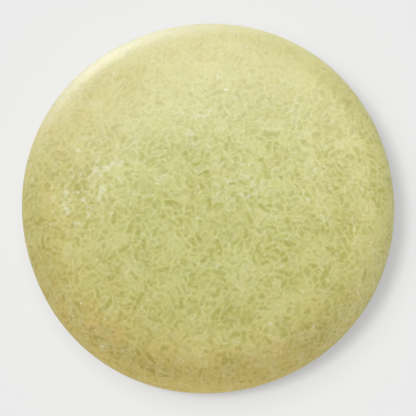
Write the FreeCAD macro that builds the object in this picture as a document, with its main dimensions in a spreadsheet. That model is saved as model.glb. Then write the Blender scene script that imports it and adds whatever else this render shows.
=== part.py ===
import FreeCAD, Part

import math
import os
import random

import Sketcher

# Pressed soap puck for a shaving mug or bowl, as a parametric document in millimetres.
#
# The puck is pressed from short extruded soap noodles. Most of them fuse into one mass, the
# pressed body. The ones that stay distinct lie flush in its face: olive noodles, translucent
# and well wetted, and a few pale noodles, drier and full of air. Each of these is a solid of
# its own, in a pocket of its own shape.
#
# Frame: +Z up through the crown, origin at the centre of the flat base, which lies on Z = 0.

V = FreeCAD.Vector
DOC_NAME = "soap_puck"
UP = V(0, 0, 1)

# Driving dimensions: alias, value, what it sets.
DIMENSIONS = [
    ("girth_diameter", 72.0, "widest diameter of the puck"),
    ("overall_height", 24.0, "base to top of the crown"),
    ("base_round", 8.0, "radius that turns the base up into the side"),
    ("girth_band", 3.0, "height of the straight band at the girth"),
    ("shoulder_round", 9.5, "radius that turns the side in to the crown"),
    ("noodle_diameter", 0.98, "diameter of an extruded noodle"),
    ("noodle_end_chamfer", 0.2, "how far pressing has turned over a noodle's cut ends"),
    ("shortest_noodle", 1.5, "length of the shortest noodle"),
    ("longest_noodle", 3.9, "length of the longest noodle"),
    ("noodle_depth", 0.16, "how far a noodle's axis lies under the surface"),
    ("noodle_plunge", 9.0, "steepest dip of a noodle into the surface, in degrees"),
    ("noodle_gap", 0.22, "least wall of fused soap between two noodles"),
    ("olive_count", 470, "number of olive noodles"),
    ("pale_count", 56, "number of pale noodles"),
]


def make_sheet(doc):
    """The spreadsheet that holds the driving dimensions, one alias a row."""
    sheet = doc.addObject("Spreadsheet::Sheet", "Sizes")
    for row, (alias, value, note) in enumerate(DIMENSIONS, start=1):
        sheet.set(f"A{row}", alias)
        sheet.set(f"B{row}", str(value))
        sheet.set(f"C{row}", note)
        sheet.setAlias(f"B{row}", alias)
    doc.recompute()
    return sheet


class Profile:
    """The puck's half section: base, lower round, girth band, shoulder round and crown.

    The crown is an arc centred on the axis that runs smoothly into the shoulder, so the height
    and the shoulder fix its radius."""

    def __init__(self, sheet):
        self.girth = sheet.girth_diameter / 2
        self.top = sheet.overall_height
        self.low = sheet.base_round
        self.shoulder = sheet.shoulder_round
        self.band_top = self.low + sheet.girth_band
        self.turn = self.girth - self.shoulder  # radius of the shoulder arc's centre
        rise = self.top - self.band_top
        self.crown = (self.turn**2 + rise**2 - self.shoulder**2) / (2 * (rise - self.shoulder))
        self.crown_centre = self.top - self.crown
        self.edge_tilt = math.asin(self.turn / (self.crown - self.shoulder))
        self.crown_length = self.crown * self.edge_tilt
        self.shoulder_length = self.shoulder * (math.pi / 2 - self.edge_tilt)
        self.length_to_band = self.crown_length + self.shoulder_length
        self.length = self.length_to_band + sheet.girth_band

    def at(self, length):
        """(radius, height, tilt) at a length along the section, from the crown's top down.

        Tilt is the angle between the outward normal and +Z."""
        if length < self.crown_length:
            tilt = length / self.crown
            return self.crown * math.sin(tilt), self.crown_centre + self.crown * math.cos(tilt), tilt
        if length < self.length_to_band:
            tilt = self.edge_tilt + (length - self.crown_length) / self.shoulder
            radius = self.turn + self.shoulder * math.sin(tilt)
            return radius, self.band_top + self.shoulder * math.cos(tilt), tilt
        return self.girth, self.band_top - (length - self.length_to_band), math.pi / 2


def origin_plane(body, role):
    return next(f for f in body.Origin.OriginFeatures if f.Role == role)


def arc_between(centre, radius, first, last):
    """A sketch arc from one angle to another, in degrees, counter-clockwise."""
    circle = Part.Circle(V(centre[0], centre[1], 0), UP, radius)
    return Part.ArcOfCircle(circle, math.radians(first), math.radians(last))


def draw_section(sketch, profile):
    """Draws and constrains the half section, with the axis on the sketch's vertical."""
    start, end, centre = 1, 2, 3
    edge = math.degrees(math.pi / 2 - profile.edge_tilt)
    foot = profile.girth - profile.low
    base, lower, band, shoulder, crown, axis = sketch.addGeometry(
        [
            Part.LineSegment(V(0, 0, 0), V(foot, 0, 0)),
            arc_between((foot, profile.low), profile.low, 270, 360),
            Part.LineSegment(V(profile.girth, profile.low, 0), V(profile.girth, profile.band_top, 0)),
            arc_between((profile.turn, profile.band_top), profile.shoulder, 0, edge),
            arc_between((0, profile.crown_centre), profile.crown, edge, 90),
            Part.LineSegment(V(0, profile.top, 0), V(0, 0, 0)),
        ],
        False,
    )
    origin, vertical = (-1, 1), -2
    C = Sketcher.Constraint
    sketch.addConstraint(
        [
            C("Coincident", base, start, *origin),
            C("Horizontal", base),
            C("Tangent", base, end, lower, start),
            C("Tangent", lower, end, band, start),
            C("Vertical", band),
            C("Tangent", band, end, shoulder, start),
            C("Tangent", shoulder, end, crown, start),
            C("PointOnObject", crown, centre, vertical),
            C("Coincident", crown, end, axis, start),
            C("PointOnObject", crown, end, vertical),
            C("Coincident", axis, end, *origin),
        ]
    )
    driven = [
        ("girth", C("DistanceX", *origin, band, start, profile.girth), "Sizes.girth_diameter / 2"),
        ("low", C("Radius", lower, profile.low), "Sizes.base_round"),
        ("band", C("DistanceY", band, start, band, end, profile.band_top - profile.low), "Sizes.girth_band"),
        ("shoulder", C("Radius", shoulder, profile.shoulder), "Sizes.shoulder_round"),
        ("top", C("DistanceY", *origin, axis, start, profile.top), "Sizes.overall_height"),
    ]
    for name, constraint, size in driven:
        index = sketch.addConstraint(constraint)
        sketch.renameConstraint(index, name)
        sketch.setExpression(f"Constraints.{name}", size)


def build_blank(doc, profile):
    """The whole puck as one turned solid, before the distinct noodles are let into it."""
    body = doc.addObject("PartDesign::Body", "Blank")
    body.Label = "blank"
    sketch = body.newObject("Sketcher::SketchObject", "HalfSection")
    sketch.AttachmentSupport = [(origin_plane(body, "XZ_Plane"), "")]
    sketch.MapMode = "FlatFace"
    draw_section(sketch, profile)
    doc.recompute()
    turned = body.newObject("PartDesign::Revolution", "Turned")
    turned.Profile = sketch
    turned.ReferenceAxis = (sketch, ["V_Axis"])
    turned.Angle = 360
    doc.recompute()
    return body


def between(first_start, first_end, second_start, second_end):
    """The least distance between two straight noodle axes."""
    first = Part.makeLine(first_start, first_end)
    return first.distToShape(Part.makeLine(second_start, second_end))[0]


def scatter_noodles(profile, sheet, count):
    """(start, end) of count noodle axes, spread evenly and at random over crown, shoulder and band.

    A noodle lies along the surface in any direction and dips a little at one end. One that would
    come too close to a noodle already placed is dropped, and another is tried."""
    rng = random.Random(72)
    clear = sheet.noodle_diameter + sheet.noodle_gap
    half_band = (profile.length + profile.length_to_band) / 2
    placed = []
    while len(placed) < count:
        radius, height, tilt = profile.at(rng.uniform(0, half_band))
        if rng.uniform(0, profile.girth) > radius:
            continue  # keeps as many noodles to the area near the axis as near the girth
        azimuth = rng.uniform(0, 2 * math.pi)
        outward = V(math.cos(azimuth), math.sin(azimuth), 0)
        around = V(-math.sin(azimuth), math.cos(azimuth), 0)
        normal = outward * math.sin(tilt) + UP * math.cos(tilt)
        heading = rng.uniform(0, math.pi)
        along = around * math.cos(heading) + around.cross(normal) * math.sin(heading)
        dip = math.radians(rng.uniform(-sheet.noodle_plunge, sheet.noodle_plunge))
        direction = along * math.cos(dip) + normal * math.sin(dip)
        half = direction * (rng.uniform(sheet.shortest_noodle, sheet.longest_noodle) / 2)
        middle = outward * radius + UP * height - normal * sheet.noodle_depth
        start, end = middle - half, middle + half
        near = [
            other
            for other in placed
            if (middle - (other[0] + other[1]) / 2).Length < sheet.longest_noodle + clear
        ]
        if all(between(start, end, *other) > clear for other in near):
            placed.append((start, end))
    return placed


def noodle_rods(doc, name, axes, sheet):
    """Whole noodles on these axes, as one object: rods with the cut ends turned over."""
    rods = []
    for start, end in axes:
        span = end - start
        rod = Part.makeCylinder(sheet.noodle_diameter / 2, span.Length, start, span)
        cut_ends = [e for e in rod.Edges if e.Closed]
        rods.append(rod.makeChamfer(sheet.noodle_end_chamfer, cut_ends))
    feature = doc.addObject("Part::Feature", name)
    feature.Shape = Part.makeCompound(rods)
    return feature


def flush_with(doc, label, blank, rods):
    """The noodles as pressing leaves them: trimmed to the puck's own surface."""
    noodles = doc.addObject("Part::MultiCommon", label)
    noodles.Label = label
    noodles.Shapes = [blank, rods]
    noodles.Refine = False
    return noodles


def build_pressed_body(doc, blank, *rods):
    """The fused mass of the puck, with a pocket for each distinct noodle."""
    tools = doc.addObject("Part::Compound", "AllRods")
    tools.Links = list(rods)
    pressed = doc.addObject("Part::Cut", "pressed_body")
    pressed.Label = "pressed_body"
    pressed.Base = blank
    pressed.Tool = tools
    pressed.Refine = False
    return pressed


def check(doc, solid_counts):
    """Stops the build if an object failed or a sub-part isn't the sound solids it should be.

    solid_counts holds (sub-part, number of solids) pairs."""
    failed = [o.Name for o in doc.Objects if {"Invalid", "Error"} & set(o.State)]
    if failed:
        raise RuntimeError(f"these objects failed to build: {failed}")
    for part, count in solid_counts:
        shape = part.Shape
        if shape.isNull() or not shape.isValid() or len(shape.Solids) != count:
            raise RuntimeError(f"{part.Label} is not {count} sound solids")


def export(parts):
    os.makedirs("parts", exist_ok=True)
    for part in parts:
        solids = part.Shape.Solids
        shape = solids[0] if len(solids) == 1 else Part.makeCompound(solids)
        shape.exportStep(f"parts/{part.Label}.step")
        print(f"{part.Label}: {len(solids)} solids, {shape.Volume:.1f} mm3")


def main():
    doc = FreeCAD.newDocument(DOC_NAME)
    sheet = make_sheet(doc)
    profile = Profile(sheet)
    blank = build_blank(doc, profile)
    olive_count, pale_count = int(sheet.olive_count), int(sheet.pale_count)
    axes = scatter_noodles(profile, sheet, olive_count + pale_count)
    olive_rods = noodle_rods(doc, "OliveRods", axes[:olive_count], sheet)
    pale_rods = noodle_rods(doc, "PaleRods", axes[olive_count:], sheet)
    olive = flush_with(doc, "olive_noodles", blank, olive_rods)
    pale = flush_with(doc, "pale_noodles", blank, pale_rods)
    pressed = build_pressed_body(doc, blank, olive_rods, pale_rods)
    doc.recompute()
    check(doc, [(pressed, 1), (olive, olive_count), (pale, pale_count)])
    export([pressed, olive, pale])


main()
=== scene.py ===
import itertools
import math
from collections import namedtuple

import bmesh
import bpy
import numpy as np
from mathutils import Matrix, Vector, kdtree


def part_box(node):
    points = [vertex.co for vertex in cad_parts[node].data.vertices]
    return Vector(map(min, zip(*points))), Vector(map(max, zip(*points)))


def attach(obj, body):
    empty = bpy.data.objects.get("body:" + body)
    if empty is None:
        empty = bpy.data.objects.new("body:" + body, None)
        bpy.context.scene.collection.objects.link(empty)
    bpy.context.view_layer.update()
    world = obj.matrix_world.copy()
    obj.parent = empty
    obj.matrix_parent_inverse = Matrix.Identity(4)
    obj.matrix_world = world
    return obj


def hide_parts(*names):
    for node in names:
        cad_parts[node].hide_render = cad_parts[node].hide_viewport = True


# The looks of a pressed shaving soap puck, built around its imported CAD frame.
#
# Shapes are worked out in millimetres, in the frame's own axes, and become metres when a mesh is
# made. Azimuths are in degrees, from +X towards +Y. The puck is a mosaic of short soap noodles:
# the ones that the CAD holds as solids lie on top, whole, and the rest are pressed into the body
# under and around them.

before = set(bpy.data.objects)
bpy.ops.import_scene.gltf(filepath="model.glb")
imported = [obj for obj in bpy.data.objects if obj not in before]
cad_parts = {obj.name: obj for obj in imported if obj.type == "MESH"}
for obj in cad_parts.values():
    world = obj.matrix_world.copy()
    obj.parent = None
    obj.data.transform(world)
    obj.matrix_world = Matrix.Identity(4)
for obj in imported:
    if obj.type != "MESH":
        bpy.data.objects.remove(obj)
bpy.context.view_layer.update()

MM = 0.001  # metres in a millimetre

# The puck's half section, as the CAD turns it.
BASE_ROUND = 8.0
GIRTH_BAND = 3.0
SHOULDER_ROUND = 9.5

RINGS = 260  # rings of points from the crown's top down to the girth
ROD_STATIONS = 12  # rings of points along a whole noodle
ROD_SIDES = 14  # points in each of them

# Whole noodles.
WHOLE_RADIUS = 0.49  # as in the CAD
LEAST_HALF = 0.1  # half length of the shortest one's axis
NOODLE_SINK = 0.16  # how far the axis lies under the face
PAST_AXIS = 0.6  # how far the form runs past its axis at each end, in radii
CUT_END = 0.28  # the length over which an end rounds off

# Fused noodles.
FUSED_RADIUS = (0.34, 0.48)  # thinnest and thickest
FILL_HALF_LENGTHS = (1.4, 0.9, 0.45, 0.05)  # longest half length, pass by pass
FILL_TRIES = 16000  # places tried in each pass
SQUEEZE = 0.86  # how close two noodles' middles come, as a share of their radii
STATION_GAP = 0.45  # between the points that stand for a noodle in a crowd
CROWD_CELL = 1.0
CHALKY_SHARE = 0.04  # the share that is chalky

# Pressing.
SWELL = 1.4  # how far from its axis a noodle may reach to fill a gap, less its radius
CORE = 0.36  # how far in from a seam a noodle's middle starts
RIM = 0.24  # width of a noodle's pale rim
WANDERS = ((6.5, 0.06), (4.6, 0.06), (3.3, 0.06), (1.9, 0.035), (1.2, 0.02))  # wavelength, shift
WAVES_EACH = 3  # waves of each wavelength

# Marks on the face: their count, half lengths, and how far from its middle line each fades out.
# Strokes are thin flakes of drier soap, smeared over the noodles in pressing; scuffs are whiter.
Marks = namedtuple("Marks", "count half reach")
STROKES = Marks(10000, (0.2, 0.75), 0.24)
SCUFFS = Marks(420, (0.1, 0.6), 0.3)

# Out of round, as shares of the radius: it has dried smaller, is a little longer one way than
# the other, and has four faint flats.
SHRINKAGE = 0.008
STRETCH = 0.0025
STRETCH_AZIMUTH = 65
FLATS = 0.004
FLAT_AZIMUTH = 195
DENT = 0.06  # how far the uneven crown sinks and rises

# Ochre tint, dust and painted light. Spans say where a look starts and where it is full, as shares
# of the girth's radius.
OUTER_OCHRE = 0.3  # how ochre the outer band is, on average
OUTER_OCHRE_SWING = 0.45  # the share by which that is less at OUTER_OCHRE_LEAST_AZIMUTH and more opposite it
OUTER_OCHRE_LEAST_AZIMUTH = 30
OUTER_OCHRE_SPAN = (0.4, 0.85)
FRONT_OCHRE = 0.8  # how much more ochre the rim is, at most, towards the front
FRONT_OCHRE_AZIMUTH = 265
FRONT_OCHRE_SPAN = (0.72, 1.0)
FRONT_OCHRE_FOCUS = 1.5  # how closely it keeps to that side
PAINTED_SHEEN = 0.55  # how strongly a painted sheen washes over the back
PAINTED_SHEEN_SIDE = (-0.2, 1.0, 0.0)
PAINTED_SHEEN_SPAN = (2, 26)  # in millimetres towards that side
PAINTED_HIGHLIGHT = 0.6  # how strongly a painted highlight whitens the rim on its brightest side, which is glossier too
PAINTED_HIGHLIGHT_AZIMUTH = 112
PAINTED_HIGHLIGHT_SPAN = (0.78, 1.0)
PAINTED_HIGHLIGHT_FOCUS = 3.5
# Where chalk dust lies: azimuth, then how far out and how wide as shares of the girth's radius.
DUSTY = ((170, 0.55, 0.15), (15, 0.2, 0.15), (185, 0.7, 0.12), (100, 0.4, 0.1))

# The face's relief.
GROOVE = 0.01  # how far the face dips between two noodles
PROUD = 0.004  # how far a whole noodle stands out of the face
POCKET = 0.1  # how far the body goes down under a whole noodle
POCKET_WALL = (0.45, 0.85)  # where a pocket's wall starts and ends, in radii

# Colours, as display values from 0 to 255.
LIGHT_OLIVE = (204, 204, 131)
DEEP_OLIVE = (170, 170, 74)
RIM_COLOUR = (222, 221, 164)
STROKE_COLOUR = (225, 224, 180)
CHALK_COLOUR = (226, 224, 180)
# the colour of the painted sheen on the back
PAINTED_SHEEN_COLOUR = (206, 205, 146)
DUST_COLOUR = (224, 224, 190)
SCUFF_COLOUR = (234, 233, 208)
# the colour of the painted highlight on the back-left rim
PAINTED_HIGHLIGHT_COLOUR = (208, 207, 184)
OCHRE_TINT = (1.0, 0.79, 0.55, 1.0)  # what full ochre tint leaves of red, green and blue

# Light: azimuth and elevation in degrees, and strength. The low ones light the rims.
SOFTBOXES = {
    "back_left_under": (120, -18, 1.6),
    "back_left": (135, 45, 1.0),
    "back": (90, 40, 1.25),
    "right": (40, 40, 1.1),
    "right_low": (330, -5, 0.6),
    "front": (270, 30, 1.1),
    "front_left_low": (220, -5, 0.9),
}
SOFTBOX_SPREAD = 30
FLOOR_LIGHTS = {"overhead": (180, 80, 3.5, 45), "overhead_left": (195, 75, 3, 12)}  # and spread
FLOOR_GLOW = 0.395
FLOOR_GREY = 0.2
FLOOR_HALF_SIDE = 3000
FLOOR_DROP = 0.02  # keeps the floor clear of the base, which would flicker against it
ROOM = 0.15  # light from all round
BACKDROP = 0.84  # what the camera sees past the floor

# Camera.
CAMERA_ELEVATION = 78
CAMERA_DISTANCE = 500
CAMERA_SENSOR = 36
AIM_BACK = -0.5  # from the puck's axis to the point looked at
AIM_DOWN = 1  # from half the puck's height down to that point
PUCK_IN_FRAME = 0.905  # the share of the frame's width that the CAD's girth takes

Noodles = namedtuple("Noodles", "middle along normal half radius")


def joined(*groups):
    return Noodles(*(np.concatenate(column) for column in zip(*groups)))


def lerp(pair, share):
    return pair[0] + (pair[1] - pair[0]) * share


def unit(v):
    return v / np.linalg.norm(v, axis=-1, keepdims=True)


def smooth(low, high, x):
    """0 below low, 1 above high, and an even S between them."""
    x = np.clip((x - low) / (high - low), 0, 1)
    return x * x * (3 - 2 * x)


def off_axis(points, middle, along, half):
    """(place along it, distance from it) of points near a straight axis of that half length."""
    away = points - middle
    place = np.clip(away @ along, -half, half)
    return place, np.linalg.norm(away - place[:, None] * along, axis=1)


class Cloud:
    """Points that can be looked up by where they are."""

    def __init__(self, points):
        self.points = points
        self.tree = kdtree.KDTree(len(points))
        for i, point in enumerate(points):
            self.tree.insert(point, i)
        self.tree.balance()

    def near(self, middle, reach):
        return np.array([i for _, i, _ in self.tree.find_range(middle, reach)], int)


# ---------------------------------------------------------------- shape


class Section:
    """The half section as a run from the crown's top, over the girth, to the base's centre."""

    def __init__(self, girth, top):
        self.girth, self.top = girth, top
        self.band_top = BASE_ROUND + GIRTH_BAND
        self.turn = girth - SHOULDER_ROUND
        self.foot = girth - BASE_ROUND
        rise = top - self.band_top
        self.crown = (self.turn**2 + rise**2 - SHOULDER_ROUND**2) / (2 * (rise - SHOULDER_ROUND))
        self.crown_centre = top - self.crown
        self.edge = math.asin(self.turn / (self.crown - SHOULDER_ROUND))
        runs = [
            self.crown * self.edge,
            SHOULDER_ROUND * (math.pi / 2 - self.edge),
            GIRTH_BAND,
            BASE_ROUND * math.pi / 2,
            self.foot,
        ]
        self.ends = np.cumsum(runs)
        self.to_girth = self.ends[1] + GIRTH_BAND / 2
        self.length = self.ends[-1]

    def at(self, run):
        """(radius, height, lean) at each run; lean is the angle from +Z to the outward normal."""
        ends = self.ends
        crown = run / self.crown
        shoulder = self.edge + (run - ends[0]) / SHOULDER_ROUND
        lower = math.pi / 2 + (run - ends[2]) / BASE_ROUND
        which = [run < ends[0], run < ends[1], run < ends[2], run < ends[3]]
        lean = np.select(which, [crown, shoulder, math.pi / 2, lower], math.pi)
        radius = np.select(
            which,
            [
                self.crown * np.sin(crown),
                self.turn + SHOULDER_ROUND * np.sin(shoulder),
                self.girth,
                self.foot + BASE_ROUND * np.sin(lower),
            ],
            self.length - run,
        )
        height = np.select(
            which,
            [
                self.crown_centre + self.crown * np.cos(crown),
                self.band_top + SHOULDER_ROUND * np.cos(shoulder),
                self.band_top - (run - ends[1]),
                BASE_ROUND + BASE_ROUND * np.cos(lower),
            ],
            0.0,
        )
        return radius, height, lean

    def surface(self, run, azimuth):
        """(point, normal) on the puck at each run and azimuth."""
        radius, height, lean = self.at(run)
        out = np.stack([np.cos(azimuth), np.sin(azimuth), np.zeros_like(azimuth)], -1)
        up = np.array([0.0, 0.0, 1.0])
        point = out * radius[..., None] + up * height[..., None]
        normal = out * np.sin(lean)[..., None] + up * np.cos(lean)[..., None]
        return point, normal

    def depth(self, points):
        """(depth below the face, outward normal) of points near the upper half of the puck."""
        across = np.hypot(points[:, 0], points[:, 1])
        up = points[:, 2]
        lean_crown = np.arctan2(across, up - self.crown_centre)
        lean_shoulder = np.arctan2(np.maximum(across - self.turn, 1e-9), up - self.band_top)
        on_crown = lean_crown < self.edge
        on_band = up < self.band_top
        lean = np.where(on_crown, lean_crown, np.where(on_band, math.pi / 2, lean_shoulder))
        depth = np.where(
            on_crown,
            self.crown - np.hypot(across, up - self.crown_centre),
            np.where(
                on_band,
                self.girth - across,
                SHOULDER_ROUND - np.hypot(across - self.turn, up - self.band_top),
            ),
        )
        out = points[:, :2] / np.maximum(across, 1e-9)[:, None]
        normal = np.column_stack([out * np.sin(lean)[:, None], np.cos(lean)])
        return depth, normal


def lattice(rings):
    """A disc of even triangles: ring k holds 6k points. Returns (ring, azimuth, triangles)."""
    ring = np.concatenate([[0], np.repeat(np.arange(1, rings + 1), 6 * np.arange(1, rings + 1))])
    first = 1 + 3 * ring * (ring - 1)
    place = np.arange(len(ring)) - first
    place[0] = 0
    azimuth = 2 * math.pi * place / np.maximum(6 * ring, 1)

    def point(k, j):
        return np.where(k == 0, 0, 1 + 3 * k * (k - 1) + j % max(6 * k, 1))

    triangles = []
    for k in range(rings):
        side, i = np.divmod(np.arange(6 * (k + 1)), k + 1)
        outer, inner = side * (k + 1) + i, side * k + i
        corners = [point(k + 1, outer), point(k + 1, outer + 1), point(k, inner)]
        triangles.append(np.column_stack(corners))
        if k:
            side, i = np.divmod(np.arange(6 * k), k)
            outer, inner = side * (k + 1) + i, side * k + i
            corners = [point(k, inner), point(k + 1, outer + 1), point(k, inner + 1)]
            triangles.append(np.column_stack(corners))
    return ring, azimuth, np.concatenate(triangles)


def puck_face(section):
    """(points, normals, triangles) of the whole closed face of the puck.

    A disc of triangles laid over the crown and another over the base share the girth's ring."""
    ring, azimuth, triangles = lattice(RINGS)
    inside = ring < RINGS
    top_run = ring / RINGS * section.to_girth
    base_run = section.length - ring / RINGS * (section.length - section.to_girth)
    run = np.concatenate([top_run, base_run[inside]])
    point, normal = section.surface(run, np.concatenate([azimuth, azimuth[inside]]))
    in_base = np.arange(len(ring))
    in_base[inside] += len(ring)
    base_triangles = in_base[triangles][:, ::-1]
    return point, normal, np.concatenate([triangles, base_triangles])


# ---------------------------------------------------------------- noodles


def solids_of(node):
    """The points of each separate solid of a CAD node, in millimetres."""
    mesh = bmesh.new()
    mesh.from_mesh(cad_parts[node].data)
    bmesh.ops.remove_doubles(mesh, verts=mesh.verts, dist=1e-7)
    seen, solids = set(), []
    for start in mesh.verts:
        if start in seen:
            continue
        seen.add(start)
        solid, edge = [], [start]
        while edge:
            vert = edge.pop()
            solid.append(tuple(vert.co))
            for link in vert.link_edges:
                other = link.other_vert(vert)
                if other not in seen:
                    seen.add(other)
                    edge.append(other)
        solids.append(np.array(solid) / MM)
    mesh.free()
    return solids


def whole_noodles(node, section):
    """Where the CAD's own noodles lie, read from the frame."""
    middle, along, half = [], [], []
    for points in solids_of(node):
        centre = points.mean(0)
        direction = np.linalg.eigh(np.cov((points - centre).T))[1][:, -1]
        reach = (points - centre) @ direction
        middle.append(centre + direction * (reach.max() + reach.min()) / 2)
        along.append(direction)
        half.append((reach.max() - reach.min()) / 2 - WHOLE_RADIUS)
    middle, along = np.array(middle), np.array(along)
    depth, normal = section.depth(middle)
    middle += normal * depth[:, None]
    along = unit(along - normal * (along * normal).sum(1)[:, None])
    radius = np.full(len(half), WHOLE_RADIUS)
    return Noodles(middle, along, normal, np.maximum(half, LEAST_HALF), radius)


class Crowd:
    """Noodles lying side by side, which knows whether there is room for one more."""

    def __init__(self):
        self.cells = {}

    def stations(self, middle, along, half):
        """Points along a noodle's axis, closer together than it is thick."""
        gaps = math.ceil(2 * half / STATION_GAP)
        steps = [half * (2 * k / gaps - 1) for k in range(gaps + 1)]
        return [tuple(m + a * step for m, a in zip(middle, along)) for step in steps]

    def cell(self, place):
        return tuple(math.floor(x / CROWD_CELL) for x in place)

    def neighbours(self, place):
        x, y, z = self.cell(place)
        for near in itertools.product((x - 1, x, x + 1), (y - 1, y, y + 1), (z - 1, z, z + 1)):
            yield from self.cells.get(near, ())

    def has_room(self, middle, along, half, radius):
        return not any(
            math.dist(place, other) < SQUEEZE * (radius + other_radius)
            for place in self.stations(middle, along, half)
            for other, other_radius in self.neighbours(place)
        )

    def add(self, middle, along, half, radius):
        for place in self.stations(middle, along, half):
            self.cells.setdefault(self.cell(place), []).append((place, radius))


def scatter(section, tries, most, rng):
    """(middle, along, normal) of up to most axes lying anyhow on the face, spread evenly over it."""
    run = rng.uniform(0, section.length, tries)
    run = run[rng.uniform(0, section.girth, tries) < section.at(run)[0]][:most]
    azimuth = rng.uniform(0, 2 * math.pi, len(run))
    middle, normal = section.surface(run, azimuth)
    around = np.stack([-np.sin(azimuth), np.cos(azimuth), np.zeros(len(run))], -1)
    heading = rng.uniform(0, math.pi, len(run))[:, None]
    return middle, around * np.cos(heading) + np.cross(around, normal) * np.sin(heading), normal


def fused_noodles(section, whole, rng):
    """Noodles that fill the face, long ones first, then ever shorter ones.

    Where there are whole ones, the rest lie round them."""
    crowd = Crowd()
    if whole is not None:
        for noodle in zip(whole.middle.tolist(), whole.along.tolist(), whole.half, whole.radius):
            crowd.add(*noodle)
    kept = []
    for longest in FILL_HALF_LENGTHS:
        middle, along, normal = scatter(section, FILL_TRIES, FILL_TRIES, rng)
        count = len(middle)
        half = longest * rng.uniform(0.5, 1, count)
        radius = lerp(FUSED_RADIUS, rng.uniform(0, 1, count))
        for k in range(count):
            noodle = (middle[k].tolist(), along[k].tolist(), half[k], radius[k])
            if crowd.has_room(*noodle):
                crowd.add(*noodle)
                kept.append((middle[k], along[k], normal[k], half[k], radius[k]))
    return Noodles(*(np.array(column) for column in zip(*kept)))


def unbend(points):
    """Where points would lie if the noodles, which lie crooked once pressed, were straight."""
    rng = np.random.default_rng(8)
    shift = np.zeros_like(points)
    for wavelength, size in WANDERS:
        for _ in range(WAVES_EACH):
            wave = unit(rng.normal(size=3)) * 2 * math.pi / wavelength
            swing = size * np.sin(points @ wave + rng.uniform(0, 2 * math.pi))
            shift += swing[:, None] * unit(rng.normal(size=3))
    return points + shift


def noodle_looks(fused_count, olive_count, pale_count, rng):
    """How each noodle looks: how deep its tone is, how pale its rim is and how chalky it is."""
    count = fused_count + olive_count + pale_count
    chalk = (rng.uniform(0, 1, count) < CHALKY_SHARE).astype(float)
    chalk[fused_count:] = 0
    chalk[fused_count + olive_count :] = 1
    return {"tone": rng.uniform(0, 1, count), "rim": rng.uniform(0.2, 1, count), "chalk": chalk}


def press(cloud, noodles, looks):
    """What shows at each point once the noodles are pressed together.

    Each point goes to the noodle that reaches it first as they all swell, and halfway to the next
    noodle is the seam. Returns core, 1 in a noodle's middle and 0 at a seam; rim, 1 at a seam; and
    the looks of the point's own noodle."""
    count = len(cloud.points)
    first = np.full(count, SWELL)
    second = np.full(count, SWELL)
    owner = np.zeros(count, int)
    for k in range(len(noodles.half)):
        middle, along, half = noodles.middle[k], noodles.along[k], noodles.half[k]
        near = cloud.near(middle, half + SWELL)
        off = off_axis(cloud.points[near], middle, along, half)[1] - noodles.radius[k]
        nearer = off < first[near]
        won, lost = near[nearer], near[~nearer]
        second[won] = first[won]
        first[won] = off[nearer]
        owner[won] = k
        second[lost] = np.minimum(second[lost], off[~nearer])
    inside = (second - first) / 2
    face = {key: values[owner] for key, values in looks.items()}
    face["core"] = smooth(0.0, CORE, inside)
    face["rim"] = (1 - smooth(0.0, RIM, inside)) * face["rim"]
    return face


def marks(kind, cloud, section, rng):
    """How strongly a mark of one kind shows at each point."""
    middle, along, _ = scatter(section, 2 * kind.count, kind.count, rng)
    half = lerp(kind.half, rng.uniform(0, 1, len(middle)))
    strength = rng.uniform(0.25, 1, len(middle))
    shown = np.zeros(len(cloud.points))
    for k in range(len(middle)):
        near = cloud.near(middle[k], half[k] + kind.reach)
        place, off = off_axis(cloud.points[near], middle[k], along[k], half[k])
        width = kind.reach * (1 - 0.5 * np.abs(place) / half[k])
        shown[near] = np.maximum(shown[near], strength[k] * (1 - smooth(0.0, 1.0, off / width)))
    return shown


def tint_dust_and_painted_light(points, section):
    """How strongly the soap is tinted ochre, dusted, and painted with sheen and with a highlight at
    each point.
    """
    across = np.hypot(points[:, 0], points[:, 1]) / section.girth
    azimuth = np.arctan2(points[:, 1], points[:, 0])

    def facing(side):
        return np.clip(np.cos(azimuth - math.radians(side)), 0, 1)

    ochre_all_round = OUTER_OCHRE * (1 - OUTER_OCHRE_SWING * np.cos(azimuth - math.radians(OUTER_OCHRE_LEAST_AZIMUTH)))
    ochre_share = ochre_all_round * smooth(*OUTER_OCHRE_SPAN, across)
    ochre_share += FRONT_OCHRE * facing(FRONT_OCHRE_AZIMUTH) ** FRONT_OCHRE_FOCUS * smooth(*FRONT_OCHRE_SPAN, across)
    dust = np.zeros(len(points))
    for side, out, spread in DUSTY:
        x = out * section.girth * math.cos(math.radians(side))
        y = out * section.girth * math.sin(math.radians(side))
        off = np.hypot(points[:, 0] - x, points[:, 1] - y) / (spread * section.girth)
        dust += np.exp(-(off**2))
    dust = np.clip(dust, 0, 1) * (points[:, 2] > section.top / 2)
    # Painted sheen: a pale wash over the back, where the back lights' sheen falls.
    sheen_paint = PAINTED_SHEEN * smooth(*PAINTED_SHEEN_SPAN, points @ unit(np.array(PAINTED_SHEEN_SIDE)))
    # Painted highlight: the rim whitened where the low back-left lights glint on it.
    highlight_paint = PAINTED_HIGHLIGHT * facing(PAINTED_HIGHLIGHT_AZIMUTH) ** PAINTED_HIGHLIGHT_FOCUS * smooth(*PAINTED_HIGHLIGHT_SPAN, across)
    highlight_paint *= smooth(0.4 * section.top, 0.6 * section.top, points[:, 2])
    return {"ochre_share": ochre_share, "dust": dust, "sheen_paint": sheen_paint, "highlight_paint": highlight_paint}


# ---------------------------------------------------------------- meshes


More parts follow.
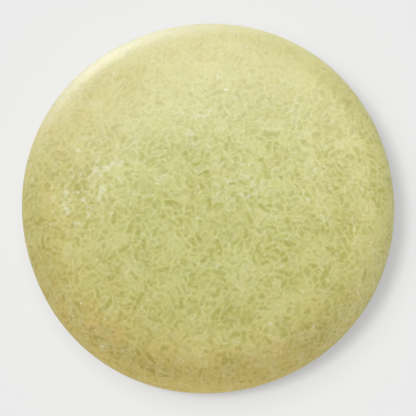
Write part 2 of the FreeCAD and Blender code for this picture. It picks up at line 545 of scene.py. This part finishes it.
def make_piece(name, points, triangles, attributes, facing, node, slot):
    """A mesh piece from points in millimetres, standing for one CAD node.

    A piece with facing is shaded by those normals, as the face that it lies flush with."""
    mesh = bpy.data.meshes.new(name)
    mesh.vertices.add(len(points))
    mesh.vertices.foreach_set("co", (points * MM).astype(np.float32).ravel())
    mesh.loops.add(3 * len(triangles))
    mesh.loops.foreach_set("vertex_index", triangles.astype(np.int32).ravel())
    mesh.polygons.add(len(triangles))
    mesh.polygons.foreach_set("loop_start", np.arange(0, 3 * len(triangles), 3, dtype=np.int32))
    mesh.update(calc_edges=True)
    mesh.validate()
    mesh.shade_smooth()
    if facing is not None:
        mesh.normals_split_custom_set_from_vertices(facing)
    for key, values in attributes.items():
        attribute = mesh.attributes.new(key, "FLOAT", "POINT")
        attribute.data.foreach_set("value", values.astype(np.float32))
    mesh.materials.append(soap(slot))
    piece = bpy.data.objects.new(name, mesh)
    bpy.context.scene.collection.objects.link(piece)
    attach(piece, "root")
    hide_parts(node)
    return piece


def settle(points, section):
    """The slight out-of-round and unevenness that pressing and drying leave, as moved points."""
    x, y, z = points.T
    azimuth = np.arctan2(y, x)
    across = np.hypot(x, y) / section.girth
    stretch = STRETCH * np.cos(2 * (azimuth - math.radians(STRETCH_AZIMUTH)))
    flats = FLATS * np.cos(4 * (azimuth - math.radians(FLAT_AZIMUTH)))
    swell = stretch - flats - SHRINKAGE
    dents = DENT * np.sin(x / 4.1 + 0.7 * np.sin(y / 5.3)) * np.sin(y / 4.7 + 1.3)
    moved = points.copy()
    moved[:, :2] *= 1 + (swell * smooth(0.3, 1.0, across))[:, None]
    moved[:, 2] += (dents - DENT) * smooth(0.5 * section.top, 0.83 * section.top, z)
    return moved


def smear(values, triangles):
    """Values on a mesh's points, blended with their neighbours'."""
    edges = np.concatenate([triangles[:, [0, 1]], triangles[:, [1, 2]], triangles[:, [2, 0]]])
    count = np.bincount(edges[:, 0], minlength=len(values))
    total = np.bincount(edges[:, 0], weights=values[edges[:, 1]], minlength=len(values))
    return 0.5 * values + 0.5 * total / np.maximum(count, 1)


def body_form(section, whole):
    """(points, normals, triangles) of the body: the face, sunk where a whole noodle covers it."""
    points, normals, triangles = puck_face(section)
    covered = np.zeros(len(points))
    cloud = Cloud(points)
    straight = unbend(points)
    wall_start, wall_end = (share * WHOLE_RADIUS for share in POCKET_WALL)
    for middle, along, half in zip(whole.middle, whole.along, whole.half):
        near = cloud.near(middle, half + 1)
        off = off_axis(straight[near], middle, along, half)[1]
        covered[near] = np.maximum(covered[near], 1 - smooth(wall_start, wall_end, off))
    return points - normals * POCKET * covered[:, None], normals, triangles


def rod_form(stations, sides):
    """(share along, angle, triangles) of a closed rod's points, end to end."""
    place = -np.cos(np.linspace(0, math.pi, stations + 2))[1:-1]
    angle = np.arange(sides) * 2 * math.pi / sides
    share = np.concatenate([[-1], np.repeat(place, sides), [1]])
    turn = np.concatenate([[0], np.tile(angle, stations), [0]])
    last = 1 + (stations - 1) * sides
    triangles = []
    for j in range(sides):
        following = (j + 1) % sides
        triangles.append((0, 1 + following, 1 + j))
        triangles.append((len(share) - 1, last + j, last + following))
        for i in range(stations - 1):
            a, b = 1 + i * sides + j, 1 + i * sides + following
            triangles.append((a, b, b + sides))
            triangles.append((a, b + sides, a + sides))
    return share, turn, np.array(triangles)


def noodles_form(noodles, section):
    """(points, triangles) of whole noodles: rods with rounded ends, pressed flush with the face."""
    share, turn, form = rod_form(ROD_STATIONS, ROD_SIDES)
    half = noodles.half + PAST_AXIS * noodles.radius
    side = np.cross(noodles.along, noodles.normal)
    length = share * half[:, None]
    past = np.clip((np.abs(length) - (half[:, None] - CUT_END)) / CUT_END, 0, 1)
    thick = noodles.radius[:, None] * np.sqrt(1 - past**2)
    across = thick * np.cos(turn)
    down = thick * np.sin(turn)
    points = (
        (noodles.middle - noodles.normal * NOODLE_SINK)[:, None]
        + noodles.along[:, None] * length[..., None]
        + side[:, None] * across[..., None]
        - noodles.normal[:, None] * down[..., None]
    ).reshape(-1, 3)
    points = 2 * points - unbend(points)
    depth, normal = section.depth(points)
    points -= normal * np.maximum(-PROUD - depth, 0)[:, None]
    triangles = form + len(share) * np.arange(len(half))[:, None, None]
    return points, triangles.reshape(-1, 3)


# ---------------------------------------------------------------- materials


class Nodes:
    """Short calls for building a material's node tree."""

    def __init__(self, name):
        self.material = bpy.data.materials.new(name)
        self.material.use_nodes = True
        self.tree = self.material.node_tree
        self.tree.nodes.clear()

    def set(self, socket, value):
        """Link an output to a socket, or give it a plain value."""
        if isinstance(value, bpy.types.NodeSocket):
            self.tree.links.new(value, socket)
        else:
            socket.default_value = value

    def add(self, kind, inputs=None, **settings):
        node = self.tree.nodes.new("ShaderNode" + kind)
        for key, value in settings.items():
            setattr(node, key, value)
        for key, value in (inputs or {}).items():
            self.set(node.inputs[key], value)
        return node

    def maths(self, operation, *values):
        return self.add("Math", dict(enumerate(values)), operation=operation).outputs[0]

    def times(self, first, second):
        return self.maths("MULTIPLY", first, second)

    def plus(self, first, second):
        return self.maths("ADD", first, second)

    def scaled(self, value, gain, lift):
        return self.maths("MULTIPLY_ADD", value, gain, lift)

    def mix(self, share, first, second, blend="MIX"):
        node = self.add("Mix", data_type="RGBA", clamp_factor=True, blend_type=blend)
        for socket, value in ((0, share), (6, first), (7, second)):
            self.set(node.inputs[socket], value)
        return node.outputs[2]

    def blend(self, share, first, second):
        """A value that goes from first to second."""
        return self.add("Mix", {0: share, 2: first, 3: second}, data_type="FLOAT").outputs[0]

    def attribute(self, name):
        return self.add("Attribute", attribute_name=name).outputs["Fac"]

    def noise(self, scale, detail=2.0, roughness=0.5):
        place = self.add("TexCoord").outputs["Object"]
        inputs = {"Vector": place, "Scale": scale, "Detail": detail, "Roughness": roughness}
        return self.add("TexNoise", inputs).outputs["Fac"]

    def ramp(self, value, low, high):
        inputs = {"Value": value, "From Min": low, "From Max": high}
        return self.add("MapRange", inputs, interpolation_type="SMOOTHSTEP").outputs["Result"]

    def surface(self, shader):
        self.tree.links.new(shader.outputs[0], self.add("OutputMaterial").inputs[0])


def colour(display):
    """A colour given as display values from 0 to 255, as the linear RGBA that Blender takes."""
    return tuple(((c / 255 + 0.055) / 1.055) ** 2.4 for c in display) + (1.0,)


def mosaic(n):
    """The colour of the noodles: olive middles, paler broken rims, strokes and chalky ones."""
    upper = n.ramp(n.noise(520, 2.0, 0.6), 0.4, 0.6)

    def layered(name):
        """The face shows now one layer of noodles, now the one below it."""
        return n.blend(upper, n.attribute("under_" + name), n.attribute(name))

    tone = n.times(layered("core"), n.scaled(layered("tone"), 0.7, 0.2))
    blotches = n.scaled(n.noise(150, 3.0, 0.6), 1.3, -0.65)
    grain = n.scaled(n.noise(900, 3.0, 0.65), 1.2, -0.62)
    depth = n.plus(n.plus(tone, blotches), grain)
    face = n.mix(depth, colour(LIGHT_OLIVE), colour(DEEP_OLIVE))
    broken = n.ramp(n.noise(900, 2.0, 0.6), 0.4, 0.64)
    face = n.mix(n.times(layered("rim"), n.times(broken, 0.32)), face, colour(RIM_COLOUR))
    stroke = n.times(n.attribute("stroke"), n.scaled(broken, 0.6, 0.4))
    face = n.mix(stroke, face, colour(STROKE_COLOUR))
    return n.mix(n.times(n.attribute("chalk"), 0.2), face, colour(CHALK_COLOUR))


def ochre(n):
    """How strongly the colour is tinted ochre: in patches, strongest at the rim."""
    patches = n.ramp(n.noise(320, 3.0, 0.65), 0.3, 0.7)
    ochre_share = n.times(n.attribute("ochre_share"), n.scaled(patches, 0.55, 0.72))
    return n.plus(ochre_share, n.scaled(patches, 0.1, -0.03))


def tints_marks_and_painted_light(n, face, ochre_share):
    """A colour under painted sheen, ochre tint, chalk dust, scuffs and a painted highlight."""
    # Painted sheen over the back.
    face = n.mix(n.attribute("sheen_paint"), face, colour(PAINTED_SHEEN_COLOUR))
    face = n.mix(ochre_share, face, OCHRE_TINT, blend="MULTIPLY")
    flecks = n.ramp(n.noise(620, 4.0, 0.65), 0.5, 0.66)
    dusty = n.times(flecks, n.scaled(n.attribute("dust"), 0.68, 0.1))
    face = n.mix(dusty, face, colour(DUST_COLOUR))
    scuffed = n.times(n.attribute("scuff"), n.scaled(flecks, 0.6, 0.55))
    face = n.mix(scuffed, face, colour(SCUFF_COLOUR))
    # Painted highlight on the back-left rim.
    glint_paint = n.times(n.attribute("highlight_paint"), n.scaled(n.noise(600, 4.0, 0.7), 2.6, -0.3))
    return n.mix(glint_paint, face, colour(PAINTED_HIGHLIGHT_COLOUR))


def soap(name):
    """Waxy translucent soap: a mosaic of noodles, tinted ochre towards the rim and marked, under
    painted sheen and a painted highlight, with an uneven gloss.
    """
    n = Nodes(name)
    ochre_share = ochre(n)
    face = tints_marks_and_painted_light(n, mosaic(n), ochre_share)

    # Strokes and grain stand a hair proud, and catch the light unevenly.
    crumb = n.noise(1100, 2.5, 0.6)
    height = n.plus(n.times(n.attribute("stroke"), 0.5), crumb)
    uneven = n.scaled(n.attribute("highlight_paint"), 0.5, 0.2)
    relief = n.add("Bump", {"Height": height, "Strength": uneven, "Distance": 0.3 * MM})

    # The ochre rim is duller, and the rim under the painted highlight is glossier.
    dryness = n.scaled(ochre_share, 0.35, 0.34)
    dryness = n.scaled(crumb, 0.16, dryness)
    dryness = n.scaled(n.attribute("highlight_paint"), -0.18, dryness)
    looks = {
        "Base Color": face,
        "Roughness": dryness,
        "Normal": relief.outputs[0],
        "IOR": 1.46,
        "Specular IOR Level": 1.0,
        "Subsurface Weight": 0.35,
        "Subsurface Radius": (1.0, 0.9, 0.35),
        "Subsurface Scale": 0.5 * MM,
    }
    n.surface(n.add("BsdfPrincipled", looks))
    return n.material


def floor_matte():
    """Matte grey that glows faintly for the camera, so that shadows on it stay soft."""
    n = Nodes("floor")
    matte = n.add("BsdfDiffuse", {"Color": (FLOOR_GREY, FLOOR_GREY, FLOOR_GREY, 1)})
    seen = n.add("LightPath").outputs["Is Camera Ray"]
    glow = n.add("Emission", {"Strength": n.times(seen, FLOOR_GLOW)})
    n.surface(n.add("AddShader", {0: matte.outputs[0], 1: glow.outputs[0]}))
    return n.material


# ---------------------------------------------------------------- stage


def lay_floor():
    """A pale table, just below the base."""
    side, low = FLOOR_HALF_SIDE * MM, -FLOOR_DROP * MM
    corners = [(x * side, y * side, low) for x, y in ((-1, -1), (1, -1), (1, 1), (-1, 1))]
    mesh = bpy.data.meshes.new("floor")
    mesh.from_pydata(corners, [], [(0, 1, 2, 3)])
    mesh.materials.append(floor_matte())
    floor = bpy.data.objects.new("floor", mesh)
    bpy.context.scene.collection.objects.link(floor)
    return floor


def place_camera(section):
    """Nearly overhead, tipped a little towards the front, with the puck filling the frame."""
    elevation = math.radians(CAMERA_ELEVATION)
    towards = Vector((0, -math.cos(elevation), math.sin(elevation)))
    target = Vector((0, AIM_BACK, section.top / 2 - AIM_DOWN)) * MM
    camera = bpy.data.objects.new("camera", bpy.data.cameras.new("camera"))
    bpy.context.scene.collection.objects.link(camera)
    camera.location = target + towards * CAMERA_DISTANCE * MM
    camera.rotation_euler = (-towards).to_track_quat("-Z", "Y").to_euler()
    camera.data.sensor_width = CAMERA_SENSOR
    camera.data.lens = CAMERA_SENSOR * CAMERA_DISTANCE / (2 * section.girth / PUCK_IN_FRAME)
    bpy.context.scene.camera = camera


def add_sun(name, azimuth, elevation, strength, spread, lit):
    """A soft distant light on the objects in one collection."""
    light = bpy.data.lights.new(name, "SUN")
    light.energy = strength
    light.angle = math.radians(spread)
    sun = bpy.data.objects.new(name, light)
    bpy.context.scene.collection.objects.link(sun)
    a, e = math.radians(azimuth), math.radians(elevation)
    towards = Vector((math.cos(a) * math.cos(e), math.sin(a) * math.cos(e), math.sin(e)))
    sun.rotation_euler = towards.to_track_quat("Z", "Y").to_euler()
    sun.light_linking.receiver_collection = lit
    return sun


def collection_of(name, objects):
    collection = bpy.data.collections.new(name)
    for each in objects:
        collection.objects.link(each)
    return collection


def light_room():
    """Even light from all round, and a paler backdrop that only the camera sees."""
    world = bpy.data.worlds.new("studio")
    world.use_nodes = True
    tree = world.node_tree
    seen = tree.nodes.new("ShaderNodeLightPath").outputs["Is Camera Ray"]
    level = tree.nodes.new("ShaderNodeMapRange")
    level.inputs["To Min"].default_value = ROOM
    level.inputs["To Max"].default_value = BACKDROP
    tree.links.new(seen, level.inputs["Value"])
    background = tree.nodes["Background"]
    background.inputs["Color"].default_value = (1, 1, 1, 1)
    tree.links.new(level.outputs["Result"], background.inputs["Strength"])
    bpy.context.scene.world = world


def light_stage(floor, pieces):
    """Softboxes round the puck, which the floor doesn't block, and overheads for the floor."""
    bpy.context.scene.view_settings.view_transform = "Standard"
    light_room()
    on_floor = collection_of("lit_floor", [floor])
    on_puck = collection_of("lit_puck", pieces)
    for name, placing in FLOOR_LIGHTS.items():
        add_sun(name, *placing, on_floor)
    for name, placing in SOFTBOXES.items():
        sun = add_sun(name, *placing, SOFTBOX_SPREAD, on_puck)
        sun.light_linking.blocker_collection = on_puck


# ---------------------------------------------------------------- the puck


def look_of(points, triangles, section, olive, pale, fused, under, rng):
    """The looks of each point of all three pieces, by name."""
    cloud = Cloud(unbend(points))
    looks = noodle_looks(len(fused.half), len(olive.half), len(pale.half), rng)
    face = press(cloud, joined(fused, olive, pale), looks)
    below = press(cloud, under, noodle_looks(len(under.half), 0, 0, rng))
    for key in ("core", "rim", "tone"):
        face[key] = smear(face[key], triangles)
        face["under_" + key] = smear(below[key], triangles)
    face["stroke"] = marks(STROKES, cloud, section, rng)
    face["scuff"] = marks(SCUFFS, cloud, section, rng)
    face.update(tint_dust_and_painted_light(points, section))
    return face


def main():
    low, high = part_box("pressed_body")
    section = Section((high.x - low.x) / 2 / MM, high.z / MM)
    rng = np.random.default_rng(72)
    olive = whole_noodles("olive_noodles", section)
    pale = whole_noodles("pale_noodles", section)
    whole = joined(olive, pale)
    fused = fused_noodles(section, whole, rng)
    under = fused_noodles(section, None, rng)

    body, normals, body_triangles = body_form(section, whole)
    forms = [(body, body_triangles), noodles_form(olive, section), noodles_form(pale, section)]
    starts = np.cumsum([0] + [len(form[0]) for form in forms])
    points = np.concatenate([form[0] for form in forms])
    triangles = np.concatenate([form[1] + start for form, start in zip(forms, starts)])
    face = look_of(points, triangles, section, olive, pale, fused, under, rng)

    sink = GROOVE * smear(1 - face["core"][: len(body)], body_triangles)
    points[: len(body)] -= normals * sink[:, None]
    points = settle(points, section)

    names = (
        ("pressed_mass", "pressed_body", "pressed_soap"),
        ("olive_noodle_set", "olive_noodles", "olive_soap"),
        ("pale_noodle_set", "pale_noodles", "pale_soap"),
    )
    pieces = []
    for (name, node, slot), form, start, end in zip(names, forms, starts, starts[1:]):
        own = points[start:end]
        attributes = {key: values[start:end] for key, values in face.items()}
        facing = None if node == "pressed_body" else section.depth(own)[1]
        pieces.append(make_piece(name, own, form[1], attributes, facing, node, slot))
    place_camera(section)
    light_stage(lay_floor(), pieces)


main()
